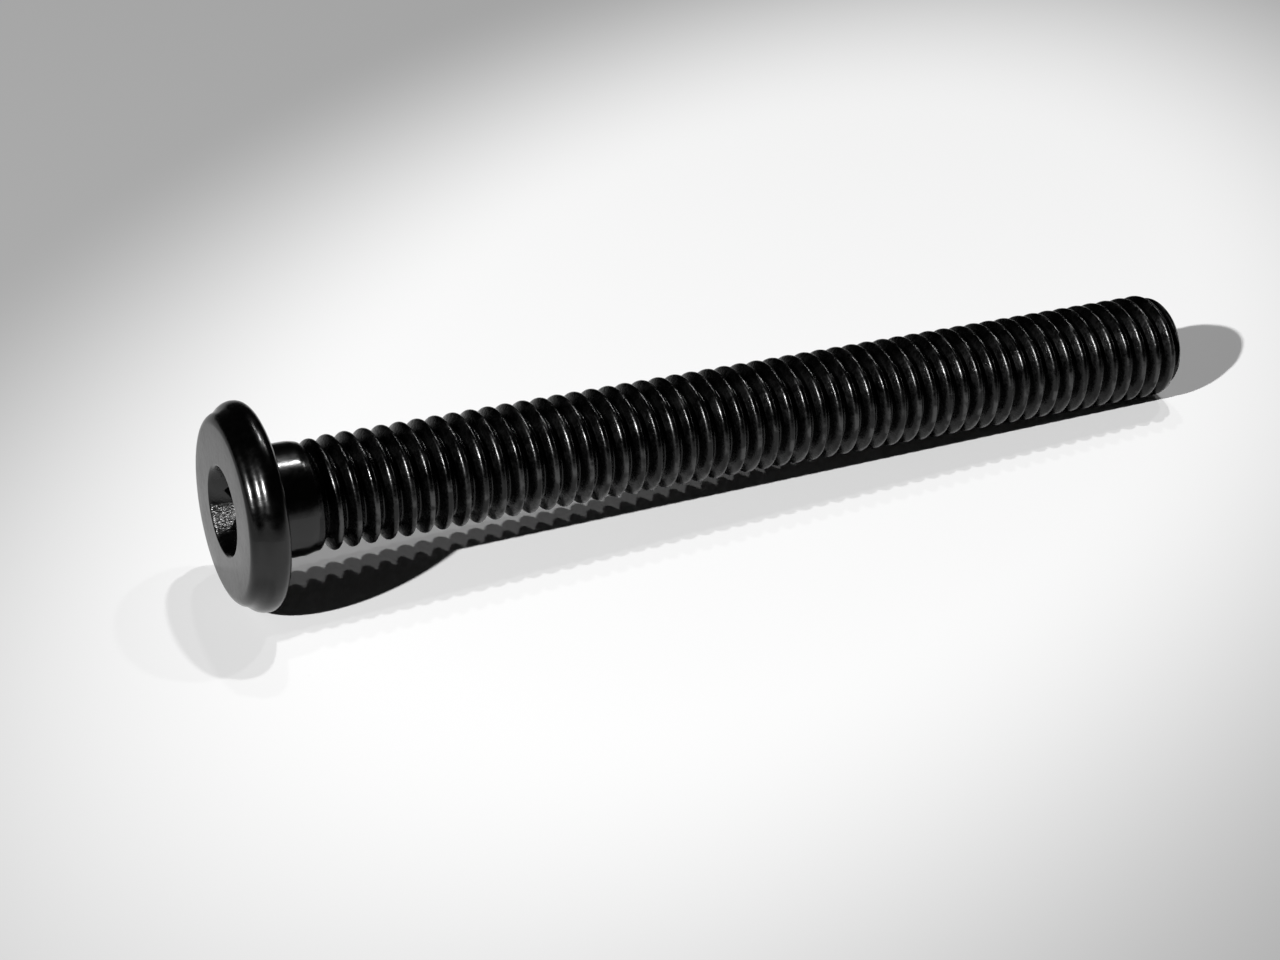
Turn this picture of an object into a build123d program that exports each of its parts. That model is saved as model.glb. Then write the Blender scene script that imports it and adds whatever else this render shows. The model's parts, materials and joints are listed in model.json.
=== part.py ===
from build123d import *
from math import asin, atan2, cos, degrees, hypot, radians, sin, sqrt, tan
import os

# A low-profile socket screw, M6 x 1.0 x 55, turned about its own axis and then laid on its side.
# Lengths are in millimetres and angles in degrees. While it is shaped, its axis is X, the
# underside of its head is at X = 0 and its tip points to +X.

# Shank. The crests of the thread fill it up to this diameter, and its length is within the
# tolerance of 0.6 mm on a nominal 55 mm.
thread_diameter = 6.0
shank_length = 55.4
neck_fillet = 0.2
tip_diameter = 3.8
tip_rounding = 1.3

# Head: a thin disc. From its flat face outwards its edge is a bead, a shallow hollow and a
# rounded rim, each an arc through which the surface turns by so many degrees, 90 in all. A
# narrow straight rim follows, and a smaller rounding at the back takes up the rest of its height.
head_diameter = 11.0
head_height = 2.0
bead_rounding = 0.61
bead_turn = 72
hollow_rounding = 0.846
hollow_turn = 28
rim_rounding = 0.83
rim_width = 0.05

# Socket for a hexagon key. A broken edge leads into a long conical mouth, which the hexagon's
# corners cut into part of the way down, and the floor is a shallow cone as the punch leaves it.
key_size = 3.5
key_turn = 38
socket_depth = 1.8
mouth_margin = 0.4
edge_break = 0.09
mouth_half_angle = 27
floor_depth = 0.35

# How far the screw has rolled about its own axis where it lies, which with key_turn leaves a
# corner of the socket 31 degrees from straight up.
roll = 113

thread_radius = thread_diameter / 2
head_radius = head_diameter / 2
rim_turn = 90 - bead_turn + hollow_turn
bead_angle = radians(bead_turn)
rim_angle = radians(90 - rim_turn)
bead_run = bead_rounding * (1 - cos(bead_angle))
bead_rise = bead_rounding * sin(bead_angle)
hollow_run = hollow_rounding * (cos(rim_angle) - cos(bead_angle))
hollow_rise = hollow_rounding * (sin(bead_angle) - sin(rim_angle))
rim_run = rim_rounding * cos(rim_angle)
rim_rise = rim_rounding * (1 - sin(rim_angle))
face_radius = head_radius - bead_rise - hollow_rise - rim_rise
rear_rounding = head_height - bead_run - hollow_run - rim_run - rim_width
bearing_radius = head_radius - rear_rounding
crest_end = shank_length - tip_rounding
mouth_radius = key_size / sqrt(3) + mouth_margin


def turned_blank():
    """The head and the shank, as one turned profile without the socket."""
    with BuildPart() as blank:
        with BuildSketch(Plane.XY):
            with BuildLine():
                face = Line((-head_height, 0), (-head_height, face_radius))
                bead = JernArc(face @ 1, (0, 1), bead_rounding, -bead_turn)
                hollow = JernArc(bead @ 1, bead % 1, hollow_rounding, hollow_turn)
                rounded = JernArc(hollow @ 1, hollow % 1, rim_rounding, -rim_turn)
                rim = Line(rounded @ 1, (-rear_rounding, head_radius))
                rear = TangentArc(rim @ 1, (0, bearing_radius), tangent=(1, 0))
                bearing = Line(rear @ 1, (0, thread_radius + neck_fillet))
                neck_start = (neck_fillet, thread_radius)
                neck = TangentArc(bearing @ 1, neck_start, tangent=(0, -1))
                shank = Line(neck @ 1, (crest_end, thread_radius))
                tip_edge = (shank_length, tip_diameter / 2)
                tip = TangentArc(shank @ 1, tip_edge, tangent=(1, 0))
                end = Line(tip @ 1, (shank_length, 0))
                Line(end @ 1, face @ 0)
            make_face()
        revolve(axis=Axis.X)
    return blank.part


def socket_cutter():
    """The hollow of the socket: its six flats, its broken edge, its conical mouth and its floor."""
    face = Plane(origin=(-head_height, 0, 0), x_dir=(0, 0, 1), z_dir=(1, 0, 0))
    hexagon = RegularPolygon(key_size / 2, 6, major_radius=False, rotation=key_turn)
    flats = extrude(face * hexagon, socket_depth)
    cone_radius = mouth_radius - edge_break
    edge = face * Pos(0, 0, edge_break / 2) * Cone(mouth_radius, cone_radius, edge_break)
    cone_depth = (cone_radius - key_size / 2) / tan(radians(mouth_half_angle))
    cone_place = Pos(0, 0, edge_break + cone_depth / 2)
    mouth = face * cone_place * Cone(cone_radius, key_size / 2, cone_depth)
    floor_place = Pos(0, 0, socket_depth + floor_depth / 2)
    floor = face * floor_place * Cone(key_size / 2, 0, floor_depth)
    return flats + edge + mouth + floor


def lean_angle():
    """How far the axis dips towards the tip when the head's rim and the last crest rest level."""
    along = crest_end + rear_rounding
    rise = bearing_radius - thread_radius
    return atan2(rise, along) + asin(rear_rounding / hypot(along, rise))


def laid_down(straight):
    """The screw on its side, its lowest points at Z = 0 and its origin under its box's middle."""
    lean = lean_angle()
    axis_height = crest_end * sin(lean) + thread_radius * cos(lean)
    tipped = Rot(0, degrees(lean), 0) * Rot(roll, 0, 0) * straight
    lying = Pos(0, 0, axis_height) * tipped
    middle = lying.bounding_box().center()
    return Pos(-middle.X, 0, 0) * lying


os.makedirs("parts", exist_ok=True)
screw = laid_down(turned_blank() - socket_cutter())
export_step(screw, "parts/screw.step")
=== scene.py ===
import json
from math import atan2, cos, degrees, hypot, pi, radians, sin, sqrt, tan

import bmesh
import bpy
from mathutils import Matrix, Vector


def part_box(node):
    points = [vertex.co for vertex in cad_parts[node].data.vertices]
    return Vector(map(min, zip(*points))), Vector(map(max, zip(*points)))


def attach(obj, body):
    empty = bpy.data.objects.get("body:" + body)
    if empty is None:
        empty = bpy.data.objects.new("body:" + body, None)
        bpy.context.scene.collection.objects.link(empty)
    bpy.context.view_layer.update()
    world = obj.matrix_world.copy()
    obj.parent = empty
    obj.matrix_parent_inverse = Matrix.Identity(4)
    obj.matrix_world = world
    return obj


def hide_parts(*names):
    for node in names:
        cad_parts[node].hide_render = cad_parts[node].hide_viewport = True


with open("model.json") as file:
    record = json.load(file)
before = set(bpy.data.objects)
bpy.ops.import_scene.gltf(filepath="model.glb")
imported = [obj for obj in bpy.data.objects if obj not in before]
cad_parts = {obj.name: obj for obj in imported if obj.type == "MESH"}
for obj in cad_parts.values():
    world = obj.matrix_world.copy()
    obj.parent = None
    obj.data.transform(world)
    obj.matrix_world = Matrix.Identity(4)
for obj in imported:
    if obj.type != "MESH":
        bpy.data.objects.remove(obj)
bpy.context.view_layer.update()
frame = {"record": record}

# The screw is shaped about its own axis and then laid down. While it is shaped, lengths are in
# millimetres, X runs along the axis from the underside of the head to the tip, and an angle
# about the axis is counted from straight up, right-handed about X.

# Thread: M6 x 1.0, right-handed, rolled, with rounded crests and narrow rounded roots.
PITCH = 1.0
CREST_RADIUS = 3.0
CREST_ROUNDING = 0.18
ROOT_ROUNDING = 0.076
FLANK_SLOPE = tan(radians(60))
FIRST_CREST = 0.09          # a crest lies this far along at angle 0, and one pitch on, and so on
TURNS = 56
STEPS = 72                  # straight pieces in one turn

# Shank: its plain neck, where the thread starts, and the rounded tip.
NECK_FILLET = 0.2
THREAD_CUT = 2.2
NECK_END = 1.75             # from here the blank narrows to the thread's first turn
WAIST = 2.55
WAIST_RADIUS = 2.88
FULL_THREAD = 3.5
TIP_START = 54.1
TIP_CUT = 55.0
TIP_END = 55.399
TIP_RADIUS = 1.9

# Head: its edge is a bead, a shallow hollow and a rounded rim, each given by the radius of its
# arc and how many degrees the surface turns along it.
HEAD_RADIUS = 5.5
HEAD_HEIGHT = 2.0
FACE_RADIUS = 4.45
EDGE = ((0.61, 72), (0.846, -28), (0.83, 46))
RIM_WIDTH = 0.05

# Socket: a broken edge, a long conical mouth, six flats and a shallow conical floor.
KEY_SIZE = 3.5
KEY_CORNER = 31             # angle of one corner of the socket
MOUTH_RADIUS = 2.42
EDGE_BREAK = 0.09
EDGE_GUARD = 0.06           # a ring this near each side of an edge keeps its shading crisp
MOUTH_HALF_ANGLE = 27
SOCKET_DEPTH = 1.8
FLOOR_DEPTH = 0.35


def mount(name):
    """The record's entry for one of the screw's mounting features."""
    return next(m for m in frame["record"]["mounts"] if m["name"] == name)


def where_it_lies():
    """The matrix that takes the screw from its own axis to where it lies, from millimetres to metres."""
    along = Vector(mount("shank")["axis"]).normalized()
    across = Vector((0, 1, 0))
    up = along.cross(across)
    shank = Vector(mount("shank")["pos_m"])
    bearing = Vector(mount("under_head")["pos_m"])
    under_head = shank + along * (bearing - shank).dot(along)
    turn = Matrix((along, across, up)).transposed()
    return Matrix.Translation(under_head) @ (turn * 0.001).to_4x4()


# ---- shape ----

def thread_radius(turns_from_crest):
    """How far the thread's surface stands from the axis, so many pitches along from a crest."""
    out = abs((turns_from_crest + 0.5) % 1.0 - 0.5) * PITCH
    crest_run = CREST_ROUNDING * sin(radians(60))
    root_run = ROOT_ROUNDING * sin(radians(60))
    flank_run = PITCH / 2 - crest_run - root_run
    if out < crest_run:
        return CREST_RADIUS - CREST_ROUNDING + sqrt(CREST_ROUNDING ** 2 - out ** 2)
    flank_top = CREST_RADIUS - CREST_ROUNDING / 2
    if out < crest_run + flank_run:
        return flank_top - (out - crest_run) * FLANK_SLOPE
    root_radius = flank_top - flank_run * FLANK_SLOPE - ROOT_ROUNDING / 2
    left = PITCH / 2 - out
    return root_radius + ROOT_ROUNDING - sqrt(max(ROOT_ROUNDING ** 2 - left ** 2, 0))


def angle_of(place):
    return atan2(-place.y, place.z)


def on_ring(along, radius, angle):
    return Vector((along, -radius * sin(angle), radius * cos(angle)))


def ease(start, end, at):
    """Rises smoothly from 0 to 1 between two places."""
    share = min(max((at - start) / (end - start), 0), 1)
    return share * share * (3 - 2 * share)


def shank_radius(along, angle):
    """The shank's surface with its thread, its run-out by the neck and the rounding of its tip."""
    radius = thread_radius((along - FIRST_CREST) / PITCH - angle / (2 * pi))
    waist = ease(NECK_END, WAIST, along) - ease(WAIST + 0.1, FULL_THREAD, along)
    cut = ease(THREAD_CUT, WAIST + 0.5, along)
    radius = CREST_RADIUS - waist * (CREST_RADIUS - WAIST_RADIUS) - cut * (CREST_RADIUS - radius)
    if along > TIP_START:
        drop = CREST_RADIUS - TIP_RADIUS
        run = TIP_END - TIP_START
        bend = (run ** 2 + drop ** 2) / (2 * drop)
        gone = min(along, TIP_END) - TIP_START
        radius = min(radius, CREST_RADIUS - bend + sqrt(bend ** 2 - gone ** 2))
    return radius


def profile_steps():
    """Places along one pitch, crest to crest, close together on the roundings."""
    crest = [CREST_ROUNDING * sin(radians(a)) for a in (0, 20, 40, 60)]
    root = [PITCH / 2 - ROOT_ROUNDING * sin(radians(a)) for a in (60, 30, 0)]
    half = crest + [(crest[-1] + root[0]) / 2] + root
    return half + [PITCH - out for out in reversed(half[:-1])]


def rolled_thread(work):
    """One pitch of the thread's profile, spun through one turn and repeated along the shank."""
    start = radians(KEY_CORNER)
    first = FIRST_CREST + PITCH * start / (2 * pi)
    row = [work.verts.new(on_ring(first + out, thread_radius(out / PITCH), start))
           for out in profile_steps()]
    edges = [work.edges.new(pair) for pair in zip(row, row[1:])]
    bmesh.ops.spin(work, geom=row + edges, cent=(0, 0, 0), axis=(1, 0, 0),
                   dvec=(PITCH / STEPS, 0, 0), angle=2 * pi, steps=STEPS,
                   use_merge=False, use_duplicate=False)
    turn = work.verts[:] + work.edges[:] + work.faces[:]
    for number in range(1, TURNS):
        copied = bmesh.ops.duplicate(work, geom=turn)["geom"]
        moved = [part for part in copied if isinstance(part, bmesh.types.BMVert)]
        bmesh.ops.translate(work, verts=moved, vec=(number * PITCH, 0, 0))
    bmesh.ops.remove_doubles(work, verts=work.verts[:], dist=0.001)
    for vert in work.verts:
        angle = angle_of(vert.co)
        vert.co = on_ring(vert.co.x, shank_radius(vert.co.x, angle), angle)


def cut_ends(work):
    """Cuts the thread square where the neck and the tip go on, and returns the two open rims."""
    for along, inner, outer in ((THREAD_CUT, True, False), (TIP_CUT, False, True)):
        bmesh.ops.bisect_plane(work, geom=work.verts[:] + work.edges[:] + work.faces[:],
                               dist=0.0001, plane_co=(along, 0, 0), plane_no=(1, 0, 0),
                               clear_inner=inner, clear_outer=outer)
    bmesh.ops.remove_doubles(work, verts=work.verts[:], dist=0.001)
    open_edges = [edge for edge in work.edges if edge.is_boundary]
    middle = (THREAD_CUT + TIP_CUT) / 2
    neck = [edge for edge in open_edges if edge.verts[0].co.x < middle]
    tip = [edge for edge in open_edges if edge.verts[0].co.x > middle]
    return neck, tip


def draw_on(work, rim, along, radius):
    """Draws an open rim on to the next ring. Either size may depend on the angle about the axis."""
    drawn = bmesh.ops.extrude_edge_only(work, edges=rim)["geom"]
    for vert in drawn:
        if isinstance(vert, bmesh.types.BMVert):
            angle = angle_of(vert.co)
            x = along(angle) if callable(along) else along
            r = radius(angle) if callable(radius) else radius
            vert.co = on_ring(x, r, angle)
    return [edge for edge in drawn if isinstance(edge, bmesh.types.BMEdge) and edge.is_boundary]


def arc(centre, radius, start, end, pieces):
    """Places on a rounding of the turned profile, after its first one, as (along, out)."""
    angles = [radians(start + (end - start) * k / pieces) for k in range(1, pieces + 1)]
    return [(centre[0] + radius * cos(a), centre[1] + radius * sin(a)) for a in angles]


def flat_radius(angle):
    """The hexagon of the socket, as a distance from the axis at an angle about it."""
    from_corner = (degrees(angle) - KEY_CORNER) % 60
    return KEY_SIZE / 2 / cos(radians(from_corner - 30))


def mouth_depth(angle):
    """How far along the mouth's cone meets the hexagon."""
    run = (MOUTH_RADIUS - EDGE_BREAK - flat_radius(angle)) / tan(radians(MOUTH_HALF_ANGLE))
    return -HEAD_HEIGHT + EDGE_BREAK + run


def cone_radius(along):
    """The mouth's cone, so far along the axis."""
    run = along + HEAD_HEIGHT - EDGE_BREAK
    return MOUTH_RADIUS - EDGE_BREAK - run * tan(radians(MOUTH_HALF_ANGLE))


def edge_places():
    """The head's edge from the flat face to the straight rim, as (along, out)."""
    along, out, turned = -HEAD_HEIGHT, FACE_RADIUS, 0.0
    places = [(along, out)]
    for radius, turn in EDGE:
        pieces = max(6, round(abs(turn) / 6))
        for k in range(pieces):
            after = turned + radians(turn) / pieces
            side = radius if turn > 0 else -radius
            along += side * (cos(turned) - cos(after))
            out += side * (sin(after) - sin(turned))
            turned = after
            places.append((along, out))
    return places


def neck_and_head(work, rim):
    """The plain neck, the fillet, the bearing face and the turned head, up to the socket's mouth."""
    edge = edge_places()
    rear_rounding = -edge[-1][0] - RIM_WIDTH
    bearing_radius = HEAD_RADIUS - rear_rounding
    rings = [(along, shank_radius(along, 0)) for along in (2.1, 2.0, 1.9, 1.8, 1.7)]
    rings += [(1.2, CREST_RADIUS), (0.7, CREST_RADIUS), (NECK_FILLET, CREST_RADIUS)]
    rings += arc((NECK_FILLET, CREST_RADIUS + NECK_FILLET), NECK_FILLET, 270, 180, 4)
    rings += [(0, 3.8), (0, 4.4), (0, bearing_radius)]
    rings += arc((-rear_rounding, bearing_radius), rear_rounding, 90, 0, 8)[::-1][1:]
    rings += [(-rear_rounding, HEAD_RADIUS)]
    rings += edge[::-1]
    rings += [(-HEAD_HEIGHT, r) for r in (3.7, 3.1, 2.7)]
    for along, out in rings:
        rim = draw_on(work, rim, along, out)
    return rim


def socket(work, rim):
    """The conical mouth, the six flats and the shallow conical floor."""
    rim = draw_on(work, rim, -HEAD_HEIGHT, MOUTH_RADIUS + EDGE_GUARD)
    mouth = rim = draw_on(work, rim, -HEAD_HEIGHT, MOUTH_RADIUS)
    rim = draw_on(work, rim, EDGE_BREAK - HEAD_HEIGHT, MOUTH_RADIUS - EDGE_BREAK)
    after_break = EDGE_BREAK - HEAD_HEIGHT + EDGE_GUARD
    rim = draw_on(work, rim, after_break, cone_radius(after_break))
    rim = draw_on(work, rim, lambda angle: mouth_depth(angle) - EDGE_GUARD,
                  lambda angle: cone_radius(mouth_depth(angle) - EDGE_GUARD))
    brink = rim = draw_on(work, rim, mouth_depth, flat_radius)
    rim = draw_on(work, rim, lambda angle: mouth_depth(angle) + EDGE_GUARD, flat_radius)
    floor_at = SOCKET_DEPTH - HEAD_HEIGHT
    for along in (-0.6, -0.4, floor_at):
        rim = draw_on(work, rim, along, flat_radius)
    for along, out in ((floor_at, 1.72), (floor_at + 0.12, 1.15), (floor_at + 0.24, 0.55)):
        rim = draw_on(work, rim, along, out)
    draw_on(work, rim, floor_at + FLOOR_DEPTH, 0)
    bmesh.ops.remove_doubles(work, verts=work.verts[:], dist=0.0005)
    bmesh.ops.bevel(work, geom=[edge for edge in mouth + brink if edge.is_valid],
                    offset=0.03, offset_type="OFFSET", segments=2, profile=0.5,
                    affect="EDGES", clamp_overlap=False, material=-1)


def tip(work, rim):
    """The last part of the rounding, with the thread still running, and the flat end."""
    for along in (55.12, 55.22, 55.30, 55.36, TIP_END):
        rim = draw_on(work, rim, along, lambda angle: shank_radius(along, angle))
    for out in (1.7, 1.1, 0.5, 0):
        rim = draw_on(work, rim, TIP_END, out)
    bmesh.ops.remove_doubles(work, verts=work.verts[:], dist=0.0005)


def finish_of(place):
    """Which finish a face has, from its middle: 0 rolled thread, 1 turned head, 2 broached socket."""
    out = hypot(place.y, place.z)
    if place.x > THREAD_CUT:
        return 0
    if out < MOUTH_RADIUS - 0.01 and place.x > -HEAD_HEIGHT + 0.001:
        return 2
    return 1


def socket_screw():
    work = bmesh.new()
    rolled_thread(work)
    neck, end = cut_ends(work)
    rim = neck_and_head(work, neck)
    socket(work, rim)
    tip(work, end)
    bmesh.ops.recalc_face_normals(work, faces=work.faces[:])
    for face in work.faces:
        face.smooth = True
        face.material_index = finish_of(face.calc_center_median())
    work.transform(where_it_lies())
    mesh = bpy.data.meshes.new("socket_screw")
    work.to_mesh(mesh)
    work.free()
    mesh.set_sharp_from_angle(angle=radians(38))
    piece = bpy.data.objects.new("socket_screw", mesh)
    bpy.context.scene.collection.objects.link(piece)
    return piece


# ---- finishes ----

def new_group(name, inputs, outputs):
    """A node group with number, colour and vector sockets. Inputs are (name, kind, default)."""
    group = bpy.data.node_groups.new(name, "ShaderNodeTree")
    for label, kind, value in inputs:
        made = group.interface.new_socket(label, in_out="INPUT", socket_type=kind)
        if value is not None:
            made.default_value = value
    for label, kind in outputs:
        group.interface.new_socket(label, in_out="OUTPUT", socket_type=kind)
    return group


def put(tree, kind, **settings):
    """Adds a node. Settings that name an input fill it, and the rest are the node's own."""
    node = tree.nodes.new(kind)
    for key, value in settings.items():
        if hasattr(node, key):
            setattr(node, key, value)
        else:
            node.inputs[key.replace("_", " ")].default_value = value
    return node


def join(tree, *pairs):
    for out, into in pairs:
        tree.links.new(out, into)


def maths(tree, operation, a, b=None):
    node = tree.nodes.new("ShaderNodeMath")
    node.operation = operation
    for value, socket_in in zip((a, b), node.inputs):
        if value is None:
            continue
        if hasattr(value, "is_output"):
            tree.links.new(value, socket_in)
        else:
            socket_in.default_value = value
    return node.outputs[0]


def spread(tree, value, low, high, to_low, to_high, smooth=True):
    """Maps a range of one value on to another range, held at its ends."""
    node = tree.nodes.new("ShaderNodeMapRange")
    node.interpolation_type = "SMOOTHSTEP" if smooth else "LINEAR"
    node.clamp = True
    tree.links.new(value, node.inputs["Value"])
    limits = {"From Min": low, "From Max": high, "To Min": to_low, "To Max": to_high}
    for label, number in limits.items():
        node.inputs[label].default_value = number
    return node.outputs["Result"]


def about_the_axis():
    """Millimetres along the screw's axis and out from it, and the place in the screw's own frame."""
    group = new_group("about the screw's axis", [],
                      [("Place", "NodeSocketVector"), ("Along", "NodeSocketFloat"),
                       ("Out", "NodeSocketFloat"), ("Around", "NodeSocketFloat")])
    out = group.nodes.new("NodeGroupOutput")
    back = where_it_lies().inverted()
    turn = back.to_3x3() * 0.001
    coords = group.nodes.new("ShaderNodeTexCoord")
    place = group.nodes.new("ShaderNodeMapping")
    place.inputs["Location"].default_value = back.to_translation()
    place.inputs["Rotation"].default_value = turn.to_euler()
    place.inputs["Scale"].default_value = (1000, 1000, 1000)
    apart = group.nodes.new("ShaderNodeSeparateXYZ")
    join(group, (coords.outputs["Object"], place.inputs["Vector"]),
         (place.outputs["Vector"], apart.inputs["Vector"]),
         (place.outputs["Vector"], out.inputs["Place"]), (apart.outputs["X"], out.inputs["Along"]))
    squares = [maths(group, "POWER", apart.outputs[axis], 2) for axis in "YZ"]
    away = maths(group, "SQRT", maths(group, "ADD", *squares))
    sideways = maths(group, "MULTIPLY", apart.outputs["Y"], -1)
    around = maths(group, "ARCTAN2", sideways, apart.outputs["Z"])
    join(group, (away, out.inputs["Out"]), (around, out.inputs["Around"]))
    return group


def oxide_grain():
    """The fine uneven skin of black oxide: how rough it is, its height, and how it is rubbed."""
    group = new_group("black oxide skin",
                      [("Place", "NodeSocketVector", None), ("Fineness", "NodeSocketFloat", 4.0),
                       ("Smoothest", "NodeSocketFloat", 0.2), ("Roughest", "NodeSocketFloat", 0.4)],
                      [("Roughness", "NodeSocketFloat"), ("Height", "NodeSocketFloat"),
                       ("Mottle", "NodeSocketFloat")])
    into = group.nodes.new("NodeGroupInput")
    out = group.nodes.new("NodeGroupOutput")
    fine = put(group, "ShaderNodeTexNoise", Detail=3.0, Roughness=0.6)
    broad = put(group, "ShaderNodeTexNoise", Detail=2.0, Roughness=0.5)
    slow = maths(group, "MULTIPLY", into.outputs["Fineness"], 0.22)
    join(group, (into.outputs["Place"], fine.inputs["Vector"]),
         (into.outputs["Fineness"], fine.inputs["Scale"]),
         (into.outputs["Place"], broad.inputs["Vector"]), (slow, broad.inputs["Scale"]))
    blend = maths(group, "ADD", maths(group, "MULTIPLY", fine.outputs["Fac"], 0.5),
                  maths(group, "MULTIPLY", broad.outputs["Fac"], 0.5))
    rough = group.nodes.new("ShaderNodeMapRange")
    rough.inputs["From Min"].default_value = 0.35
    rough.inputs["From Max"].default_value = 0.65
    join(group, (blend, rough.inputs["Value"]), (into.outputs["Smoothest"], rough.inputs["To Min"]),
         (into.outputs["Roughest"], rough.inputs["To Max"]),
         (rough.outputs["Result"], out.inputs["Roughness"]),
         (fine.outputs["Fac"], out.inputs["Height"]), (broad.outputs["Fac"], out.inputs["Mottle"]))
    return group


def use_group(tree, group, **values):
    node = tree.nodes.new("ShaderNodeGroup")
    node.node_tree = group
    for label, value in values.items():
        node.inputs[label].default_value = value
    return node


def new_finish(name, metallic):
    """An empty finish of a metallic shader, with its tree, shader and bump node."""
    finish = bpy.data.materials.new(name)
    finish.use_nodes = True
    tree = finish.node_tree
    shader = next(n for n in tree.nodes if n.type == "BSDF_PRINCIPLED")
    shader.inputs["Metallic"].default_value = metallic
    bump = tree.nodes.new("ShaderNodeBump")
    tree.links.new(bump.outputs["Normal"], shader.inputs["Normal"])
    return finish, tree, shader, bump


def colour_between(tree, amount, low, high):
    mix = tree.nodes.new("ShaderNodeMix")
    mix.data_type = "RGBA"
    factor, first, second = mix.inputs[0], mix.inputs[6], mix.inputs[7]
    first.default_value = (*low, 1)
    second.default_value = (*high, 1)
    tree.links.new(amount, factor)
    return mix.outputs[2]


def grey(value):
    return (value, value, value)


def rolled_finish(axis_group, grain_group):
    """Black oxide on the rolled thread, with its crests rubbed in patches."""
    finish, tree, shader, bump = new_finish("black oxide, rolled", 1.0)
    axis = use_group(tree, axis_group)
    grain = use_group(tree, grain_group, Fineness=5.0, Smoothest=0.16, Roughest=0.36)
    join(tree, (axis.outputs["Place"], grain.inputs["Place"]))
    crest = spread(tree, axis.outputs["Out"], 2.86, 3.0, 0, 1)
    patchy = spread(tree, grain.outputs["Mottle"], 0.45, 0.62, 0, 1)
    rubbed = maths(tree, "MULTIPLY", crest, patchy)
    join(tree, (colour_between(tree, rubbed, grey(0.024), grey(0.07)), shader.inputs["Base Color"]),
         (grain.outputs["Roughness"], shader.inputs["Roughness"]),
         (grain.outputs["Height"], bump.inputs["Height"]))
    bump.inputs["Strength"].default_value = 0.6
    bump.inputs["Distance"].default_value = 0.00003
    return finish


def turned_finish(axis_group, grain_group):
    """Black oxide on the head and neck, smoother and a little mottled."""
    finish, tree, shader, bump = new_finish("black oxide, turned", 1.0)
    axis = use_group(tree, axis_group)
    grain = use_group(tree, grain_group, Fineness=3.0, Smoothest=0.15, Roughest=0.27)
    join(tree, (axis.outputs["Place"], grain.inputs["Place"]))
    colour = colour_between(tree, grain.outputs["Mottle"], grey(0.034), grey(0.042))
    join(tree, (colour, shader.inputs["Base Color"]),
         (grain.outputs["Roughness"], shader.inputs["Roughness"]),
         (grain.outputs["Height"], bump.inputs["Height"]))
    bump.inputs["Strength"].default_value = 0.25
    bump.inputs["Distance"].default_value = 0.00002
    return finish


def broached_finish(axis_group, grain_group):
    """Black oxide in the socket, with chatter on its walls that catches the light."""
    finish, tree, shader, bump = new_finish("black oxide, broached", 1.0)
    axis = use_group(tree, axis_group)
    grain = use_group(tree, grain_group, Fineness=7.0, Smoothest=0.17, Roughest=0.3)
    join(tree, (axis.outputs["Place"], grain.inputs["Place"]))
    lines = tree.nodes.new("ShaderNodeCombineXYZ")
    chatter = put(tree, "ShaderNodeTexNoise", Scale=1.0, Detail=2.0, Roughness=0.6)
    join(tree, (maths(tree, "MULTIPLY", axis.outputs["Around"], 22), lines.inputs["X"]),
         (maths(tree, "MULTIPLY", axis.outputs["Along"], 2.2), lines.inputs["Y"]),
         (lines.outputs["Vector"], chatter.inputs["Vector"]))
    around = axis.outputs["Around"]
    side = maths(tree, "MULTIPLY", spread(tree, around, -2.7, -2.5, 0, 1),
                 spread(tree, around, -2.0, -1.85, 1, 0))
    waves = maths(tree, "MULTIPLY", chatter.outputs["Fac"], side)
    height = maths(tree, "ADD", waves, maths(tree, "MULTIPLY", grain.outputs["Height"], 0.25))
    colour = colour_between(tree, grain.outputs["Mottle"], grey(0.035), grey(0.05))
    join(tree, (colour, shader.inputs["Base Color"]),
         (grain.outputs["Roughness"], shader.inputs["Roughness"]),
         (height, bump.inputs["Height"]))
    bump.inputs["Strength"].default_value = 0.8
    bump.inputs["Distance"].default_value = 0.00006
    return finish


# ---- studio ----

# Each lamp: its name, azimuth and elevation, how far across it is, and its share of the light
# that falls on the floor at the screw.
LAMPS = (
    ("key lamp", -155, 30, 0.020, 0.70),
    ("overhead lamp", 37, 67, 0.03, 0.20),
    ("overhead lamp, left", 15, 58, 0.03, 0.05),
    ("overhead lamp, right", 65, 60, 0.03, 0.05),
)
LAMP_DISTANCE = 0.9
ROOM_LIGHT = 0.01

# The floor carries a painted pool of light: palest in an oval around the screw, painted darker away from
# it.
FLOOR_HALF_WIDTH = 0.6
PAINTED_LIGHT_POOL_CENTRE = (0.011, 0.0134, 0)
PAINTED_LIGHT_POOL_TURN = 132
PAINTED_LIGHT_POOL_SIZE = (0.0744, 0.1358, 1)
PAINTED_LIGHT_POOL_FADE = (0.3, 0.7)
PAINTED_LIGHT_POOL_TONE = 0.95
PAINTED_FALLOFF_TONE = 0.4

# The camera aims this far from the middle of the screw's box.
LENS = 76.79
AIM = (-0.00684, -0.0036, -0.00149)
CAMERA_AZIMUTH = -115.176
CAMERA_ELEVATION = 29.434
CAMERA_DISTANCE = 0.1448


# A white floor whose colour holds a painted pool of light, darker away from the screw.
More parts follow.
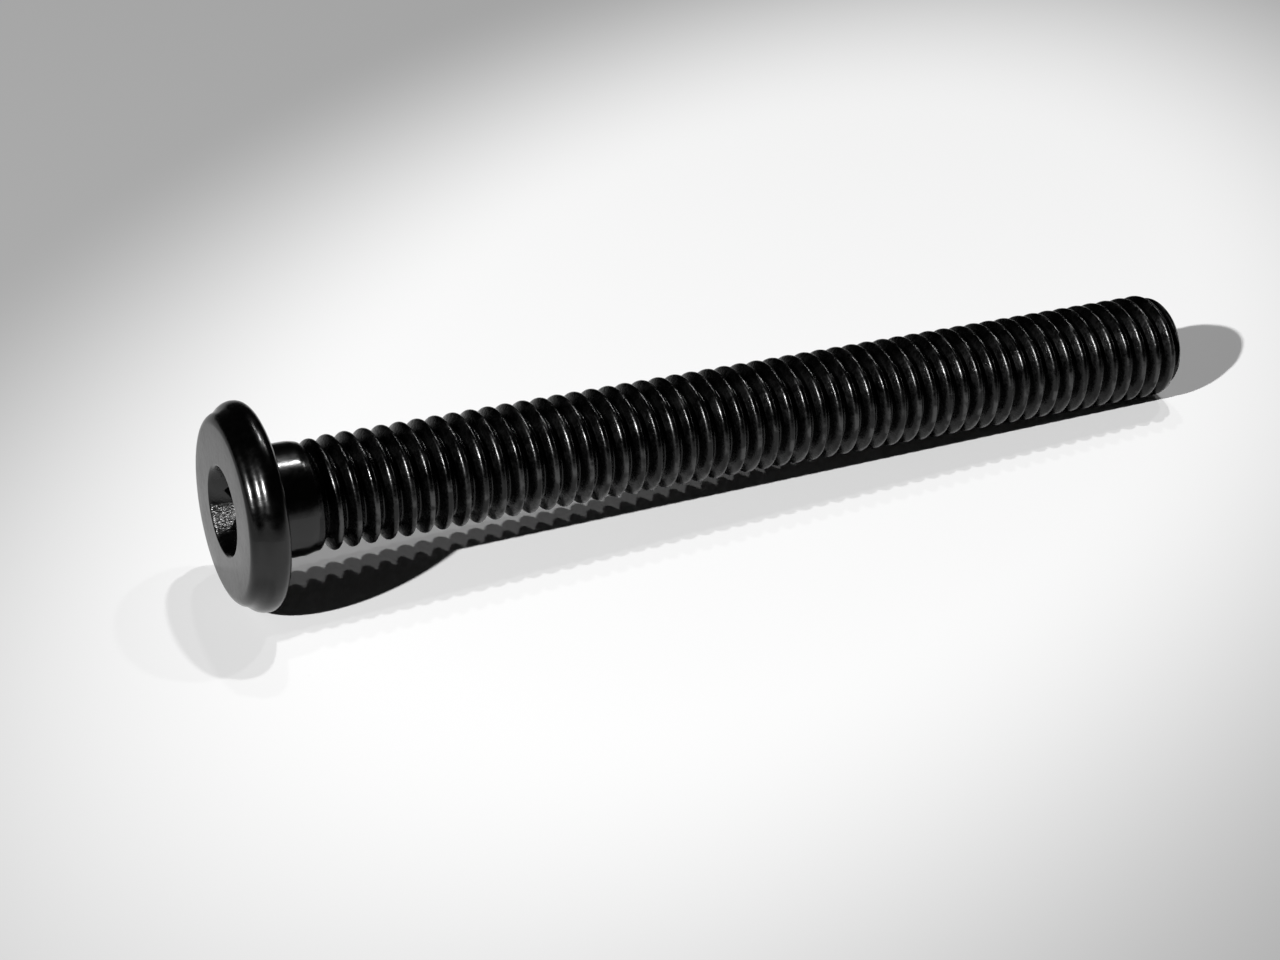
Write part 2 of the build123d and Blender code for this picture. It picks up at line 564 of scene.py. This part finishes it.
def floor_with_painted_light_pool():
    work = bmesh.new()
    bmesh.ops.create_grid(work, x_segments=1, y_segments=1, size=FLOOR_HALF_WIDTH)
    mesh = bpy.data.meshes.new("floor")
    work.to_mesh(mesh)
    work.free()
    floor = bpy.data.objects.new("floor", mesh)
    bpy.context.scene.collection.objects.link(floor)
    finish = bpy.data.materials.new("white card, painted pool of light")
    finish.use_nodes = True
    tree = finish.node_tree
    shader = next(n for n in tree.nodes if n.type == "BSDF_PRINCIPLED")
    shader.inputs["Roughness"].default_value = 0.9
    shader.inputs["Specular IOR Level"].default_value = 0.0
    coords = tree.nodes.new("ShaderNodeTexCoord")
    light_pool_mapping = tree.nodes.new("ShaderNodeMapping")
    light_pool_mapping.vector_type = "TEXTURE"
    light_pool_mapping.inputs["Location"].default_value = PAINTED_LIGHT_POOL_CENTRE
    light_pool_mapping.inputs["Rotation"].default_value = (0, 0, radians(PAINTED_LIGHT_POOL_TURN))
    light_pool_mapping.inputs["Scale"].default_value = PAINTED_LIGHT_POOL_SIZE
    length = tree.nodes.new("ShaderNodeVectorMath")
    length.operation = "LENGTH"
    join(tree, (coords.outputs["Object"], light_pool_mapping.inputs["Vector"]),
         (light_pool_mapping.outputs["Vector"], length.inputs[0]))
    # Painted pool of light: the colour goes from pale in the oval to darker outside it, in place of the
    # lamps' falloff.
    edge = spread(tree, length.outputs["Value"], *PAINTED_LIGHT_POOL_FADE, 0, 1)
    painted_light_tone = colour_between(tree, edge, grey(PAINTED_LIGHT_POOL_TONE), grey(PAINTED_FALLOFF_TONE))
    join(tree, (painted_light_tone, shader.inputs["Base Color"]))
    mesh.materials.append(finish)
    return floor


def lamp(name, azimuth, elevation, distance, size, strength, target):
    """A round lamp that gives this much light square on at the screw."""
    data = bpy.data.lights.new(name, "AREA")
    data.shape = "DISK"
    data.size = size
    data.energy = strength * pi * distance ** 2
    made = bpy.data.objects.new(name, data)
    bpy.context.scene.collection.objects.link(made)
    a, e = radians(azimuth), radians(elevation)
    away = Vector((cos(a) * cos(e), sin(a) * cos(e), sin(e)))
    made.location = target + away * distance
    made.rotation_euler = away.to_track_quat("Z", "Y").to_euler()
    return made


def studio(middle):
    for name, azimuth, elevation, size, share in LAMPS:
        square_on = share * pi / sin(radians(elevation))
        lamp(name, azimuth, elevation, LAMP_DISTANCE, size, square_on, middle)
    world = bpy.data.worlds.new("room")
    world.use_nodes = True
    background = world.node_tree.nodes["Background"]
    background.inputs["Color"].default_value = (1, 1, 1, 1)
    background.inputs["Strength"].default_value = ROOM_LIGHT
    bpy.context.scene.world = world


def camera(low, high):
    """Looks down at the screw from beyond its head, on its near side."""
    data = bpy.data.cameras.new("camera")
    data.lens = LENS
    data.sensor_width = 36
    data.clip_start = 0.01
    made = bpy.data.objects.new("camera", data)
    bpy.context.scene.collection.objects.link(made)
    middle = (low + high) / 2
    target = middle + Vector(AIM)
    a, e = radians(CAMERA_AZIMUTH), radians(CAMERA_ELEVATION)
    away = Vector((cos(a) * cos(e), sin(a) * cos(e), sin(e)))
    made.location = target + away * CAMERA_DISTANCE
    made.rotation_euler = away.to_track_quat("Z", "Y").to_euler()
    bpy.context.scene.camera = made


screw = socket_screw()
axis_group = about_the_axis()
grain_group = oxide_grain()
for make in (rolled_finish, turned_finish, broached_finish):
    screw.data.materials.append(make(axis_group, grain_group))
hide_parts("screw")
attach(screw, "root")

low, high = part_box("screw")
floor_with_painted_light_pool()
studio((low + high) / 2)
camera(low, high)
bpy.context.scene.view_settings.view_transform = "Standard"
